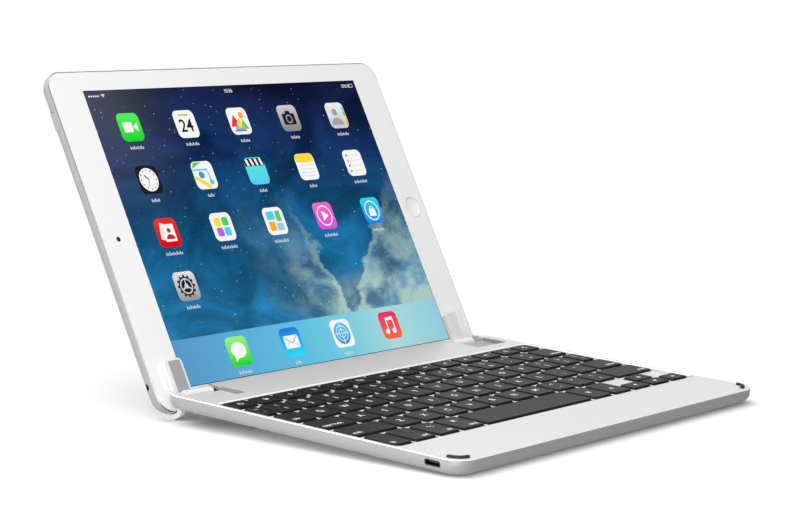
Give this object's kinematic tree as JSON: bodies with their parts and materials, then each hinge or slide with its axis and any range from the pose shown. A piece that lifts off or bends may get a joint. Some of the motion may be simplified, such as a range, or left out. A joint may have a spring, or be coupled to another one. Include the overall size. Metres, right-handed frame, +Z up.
{
  "type": "tablet keyboard case",
  "caption": "Slim aluminium keyboard base with two lined friction-hinge clips that grip the lower edge of a docked tablet, opened to a typing angle.",
  "frame": {"origin": "on the table, under the middle of the overall bounding box", "axes": "+X along the hinge to the typist's right, +Y from the typist towards the hinge and the back of the tablet, +Z up"},
  "size_m": [0.24, 0.2514, 0.1542],
  "materials": {
    "aluminium": "bead-blasted and anodised satin",
    "steel": "stamped",
    "key_plastic": "fine matt",
    "black_rubber": "matt",
    "white_silicone": "milky translucent silicone",
    "membrane": "film",
    "battery_pouch": "foil pouch",
    "circuit_board": "solder mask",
    "white_glass": "polished, white printed behind",
    "display": "lit display"
  },
  "bodies": {
    "base": {"top_deck": "aluminium", "bottom_cover": "aluminium", "key_support_plate": "steel", "membrane_sheet": "membrane", "battery_pack": "battery_pouch", "circuit_board": "circuit_board", "usb_charging_socket": "steel", "corner_bumper_left": "black_rubber", "corner_bumper_right": "black_rubber", "foot_front_left": "black_rubber", "foot_front_right": "black_rubber", "foot_rear_left": "black_rubber", "foot_rear_right": "black_rubber", "hinge_bracket_left": "steel", "hinge_bracket_right": "steel"},
    "clip_left": {"clip_bracket_left": "aluminium", "clip_liner_left": "white_silicone", "hinge_pin_left": "steel"},
    "clip_right": {"clip_bracket_right": "aluminium", "clip_liner_right": "white_silicone", "hinge_pin_right": "steel"},
    "tablet": {"tablet_back_shell": "aluminium", "tablet_front_glass": "white_glass", "tablet_display_panel": "display", "tablet_battery": "battery_pouch"},
    "key_delete": {"key_delete": "key_plastic"},
    "key_caps_lock": {"key_caps_lock": "key_plastic"},
    "key_a": {"key_a": "key_plastic"},
    "key_s": {"key_s": "key_plastic"},
    "key_d": {"key_d": "key_plastic"},
    "key_f": {"key_f": "key_plastic"},
    "key_g": {"key_g": "key_plastic"},
    "key_h": {"key_h": "key_plastic"},
    "key_j": {"key_j": "key_plastic"},
    "key_k": {"key_k": "key_plastic"},
    "key_l": {"key_l": "key_plastic"},
    "key_semicolon": {"key_semicolon": "key_plastic"},
    "key_quote": {"key_quote": "key_plastic"},
    "key_return": {"key_return": "key_plastic"},
    "key_shift_left": {"key_shift_left": "key_plastic"},
    "key_shift_right": {"key_shift_right": "key_plastic"},
    "key_fn": {"key_fn": "key_plastic"},
    "key_control": {"key_control": "key_plastic"},
    "key_option_left": {"key_option_left": "key_plastic"},
    "key_command_left": {"key_command_left": "key_plastic"},
    "key_space": {"key_space": "key_plastic"},
    "key_command_right": {"key_command_right": "key_plastic"},
    "key_option_right": {"key_option_right": "key_plastic"},
    "key_arrow_left": {"key_arrow_left": "key_plastic"},
    "key_arrow_up": {"key_arrow_up": "key_plastic"},
    "key_arrow_down": {"key_arrow_down": "key_plastic"},
    "key_arrow_right": {"key_arrow_right": "key_plastic"},
    "function_row_keys": {"function_row_keys": "key_plastic"},
    "number_row_keys": {"number_row_keys": "key_plastic"},
    "upper_letter_row_keys": {"upper_letter_row_keys": "key_plastic"},
    "lower_letter_row_keys": {"lower_letter_row_keys": "key_plastic"},
    "tablet_home_button": {"tablet_home_button": "white_glass"},
    "tablet_power_button": {"tablet_power_button": "aluminium"},
    "tablet_volume_up": {"tablet_volume_up": "aluminium"},
    "tablet_volume_down": {"tablet_volume_down": "aluminium"}
  },
  "joints": [
    {"name": "clip_left_hinge", "type": "hinge", "parent": "base", "child": "clip_left", "pos_m": [-0.1, 0.04005, 0.01082], "axis": [1, 0, 0], "range_deg": [-60.2, 119.8]},
    {"name": "clip_right_hinge", "type": "hinge", "parent": "base", "child": "clip_right", "pos_m": [0.1, 0.04005, 0.01082], "axis": [1, 0, 0], "range_deg": [-60.2, 119.8]},
    {"name": "dock_tablet_lift", "type": "slide", "parent": "clip_left", "child": "tablet", "axis": [0, 0.4638, 0.886], "range_m": [0, 0.04]},
    {"name": "key_delete_press", "type": "slide", "parent": "base", "child": "key_delete", "axis": [0, -0.0379, 0.9993], "range_m": [-0.0012, 0], "stiffness_N_per_m": 360},
    {"name": "key_caps_lock_press", "type": "slide", "parent": "base", "child": "key_caps_lock", "axis": [0, -0.0379, 0.9993], "range_m": [-0.0012, 0], "stiffness_N_per_m": 360},
    {"name": "key_a_press", "type": "slide", "parent": "base", "child": "key_a", "axis": [0, -0.0379, 0.9993], "range_m": [-0.0012, 0], "stiffness_N_per_m": 360},
    {"name": "key_s_press", "type": "slide", "parent": "base", "child": "key_s", "axis": [0, -0.0379, 0.9993], "range_m": [-0.0012, 0], "stiffness_N_per_m": 360},
    {"name": "key_d_press", "type": "slide", "parent": "base", "child": "key_d", "axis": [0, -0.0379, 0.9993], "range_m": [-0.0012, 0], "stiffness_N_per_m": 360},
    {"name": "key_f_press", "type": "slide", "parent": "base", "child": "key_f", "axis": [0, -0.0379, 0.9993], "range_m": [-0.0012, 0], "stiffness_N_per_m": 360},
    {"name": "key_g_press", "type": "slide", "parent": "base", "child": "key_g", "axis": [0, -0.0379, 0.9993], "range_m": [-0.0012, 0], "stiffness_N_per_m": 360},
    {"name": "key_h_press", "type": "slide", "parent": "base", "child": "key_h", "axis": [0, -0.0379, 0.9993], "range_m": [-0.0012, 0], "stiffness_N_per_m": 360},
    {"name": "key_j_press", "type": "slide", "parent": "base", "child": "key_j", "axis": [0, -0.0379, 0.9993], "range_m": [-0.0012, 0], "stiffness_N_per_m": 360},
    {"name": "key_k_press", "type": "slide", "parent": "base", "child": "key_k", "axis": [0, -0.0379, 0.9993], "range_m": [-0.0012, 0], "stiffness_N_per_m": 360},
    {"name": "key_l_press", "type": "slide", "parent": "base", "child": "key_l", "axis": [0, -0.0379, 0.9993], "range_m": [-0.0012, 0], "stiffness_N_per_m": 360},
    {"name": "key_semicolon_press", "type": "slide", "parent": "base", "child": "key_semicolon", "axis": [0, -0.0379, 0.9993], "range_m": [-0.0012, 0], "stiffness_N_per_m": 360},
    {"name": "key_quote_press", "type": "slide", "parent": "base", "child": "key_quote", "axis": [0, -0.0379, 0.9993], "range_m": [-0.0012, 0], "stiffness_N_per_m": 360},
    {"name": "key_return_press", "type": "slide", "parent": "base", "child": "key_return", "axis": [0, -0.0379, 0.9993], "range_m": [-0.0012, 0], "stiffness_N_per_m": 360},
    {"name": "key_shift_left_press", "type": "slide", "parent": "base", "child": "key_shift_left", "axis": [0, -0.0379, 0.9993], "range_m": [-0.0012, 0], "stiffness_N_per_m": 360},
    {"name": "key_shift_right_press", "type": "slide", "parent": "base", "child": "key_shift_right", "axis": [0, -0.0379, 0.9993], "range_m": [-0.0012, 0], "stiffness_N_per_m": 360},
    {"name": "key_fn_press", "type": "slide", "parent": "base", "child": "key_fn", "axis": [0, -0.0379, 0.9993], "range_m": [-0.0012, 0], "stiffness_N_per_m": 360},
    {"name": "key_control_press", "type": "slide", "parent": "base", "child": "key_control", "axis": [0, -0.0379, 0.9993], "range_m": [-0.0012, 0], "stiffness_N_per_m": 360},
    {"name": "key_option_left_press", "type": "slide", "parent": "base", "child": "key_option_left", "axis": [0, -0.0379, 0.9993], "range_m": [-0.0012, 0], "stiffness_N_per_m": 360},
    {"name": "key_command_left_press", "type": "slide", "parent": "base", "child": "key_command_left", "axis": [0, -0.0379, 0.9993], "range_m": [-0.0012, 0], "stiffness_N_per_m": 360},
    {"name": "key_space_press", "type": "slide", "parent": "base", "child": "key_space", "axis": [0, -0.0379, 0.9993], "range_m": [-0.0012, 0], "stiffness_N_per_m": 360},
    {"name": "key_command_right_press", "type": "slide", "parent": "base", "child": "key_command_right", "axis": [0, -0.0379, 0.9993], "range_m": [-0.0012, 0], "stiffness_N_per_m": 360},
    {"name": "key_option_right_press", "type": "slide", "parent": "base", "child": "key_option_right", "axis": [0, -0.0379, 0.9993], "range_m": [-0.0012, 0], "stiffness_N_per_m": 360},
    {"name": "key_arrow_left_press", "type": "slide", "parent": "base", "child": "key_arrow_left", "axis": [0, -0.0379, 0.9993], "range_m": [-0.0012, 0], "stiffness_N_per_m": 360},
    {"name": "key_arrow_up_press", "type": "slide", "parent": "base", "child": "key_arrow_up", "axis": [0, -0.0379, 0.9993], "range_m": [-0.0012, 0], "stiffness_N_per_m": 360},
    {"name": "key_arrow_down_press", "type": "slide", "parent": "base", "child": "key_arrow_down", "axis": [0, -0.0379, 0.9993], "range_m": [-0.0012, 0], "stiffness_N_per_m": 360},
    {"name": "key_arrow_right_press", "type": "slide", "parent": "base", "child": "key_arrow_right", "axis": [0, -0.0379, 0.9993], "range_m": [-0.0012, 0], "stiffness_N_per_m": 360},
    {"name": "function_row_keys_press", "type": "slide", "parent": "base", "child": "function_row_keys", "axis": [0, -0.0379, 0.9993], "range_m": [-0.0012, 0], "stiffness_N_per_m": 5040},
    {"name": "number_row_keys_press", "type": "slide", "parent": "base", "child": "number_row_keys", "axis": [0, -0.0379, 0.9993], "range_m": [-0.0012, 0], "stiffness_N_per_m": 4680},
    {"name": "upper_letter_row_keys_press", "type": "slide", "parent": "base", "child": "upper_letter_row_keys", "axis": [0, -0.0379, 0.9993], "range_m": [-0.0012, 0], "stiffness_N_per_m": 5040},
    {"name": "lower_letter_row_keys_press", "type": "slide", "parent": "base", "child": "lower_letter_row_keys", "axis": [0, -0.0379, 0.9993], "range_m": [-0.0012, 0], "stiffness_N_per_m": 3600},
    {"name": "tablet_home_button_press", "type": "slide", "parent": "tablet", "child": "tablet_home_button", "axis": [0, 0.886, -0.4638], "range_m": [0, 0.0003], "stiffness_N_per_m": 600},
    {"name": "tablet_power_button_press", "type": "slide", "parent": "tablet", "child": "tablet_power_button", "axis": [1, 0, 0], "range_m": [0, 0.0004], "stiffness_N_per_m": 600},
    {"name": "tablet_volume_up_press", "type": "slide", "parent": "tablet", "child": "tablet_volume_up", "axis": [0, -0.4638, -0.886], "range_m": [0, 0.0004], "stiffness_N_per_m": 600},
    {"name": "tablet_volume_down_press", "type": "slide", "parent": "tablet", "child": "tablet_volume_down", "axis": [0, -0.4638, -0.886], "range_m": [0, 0.0004], "stiffness_N_per_m": 600}
  ],
  "couplings": [
    {"joint": "clip_right_hinge", "follows": "clip_left_hinge", "ratio": 1}
  ]
}
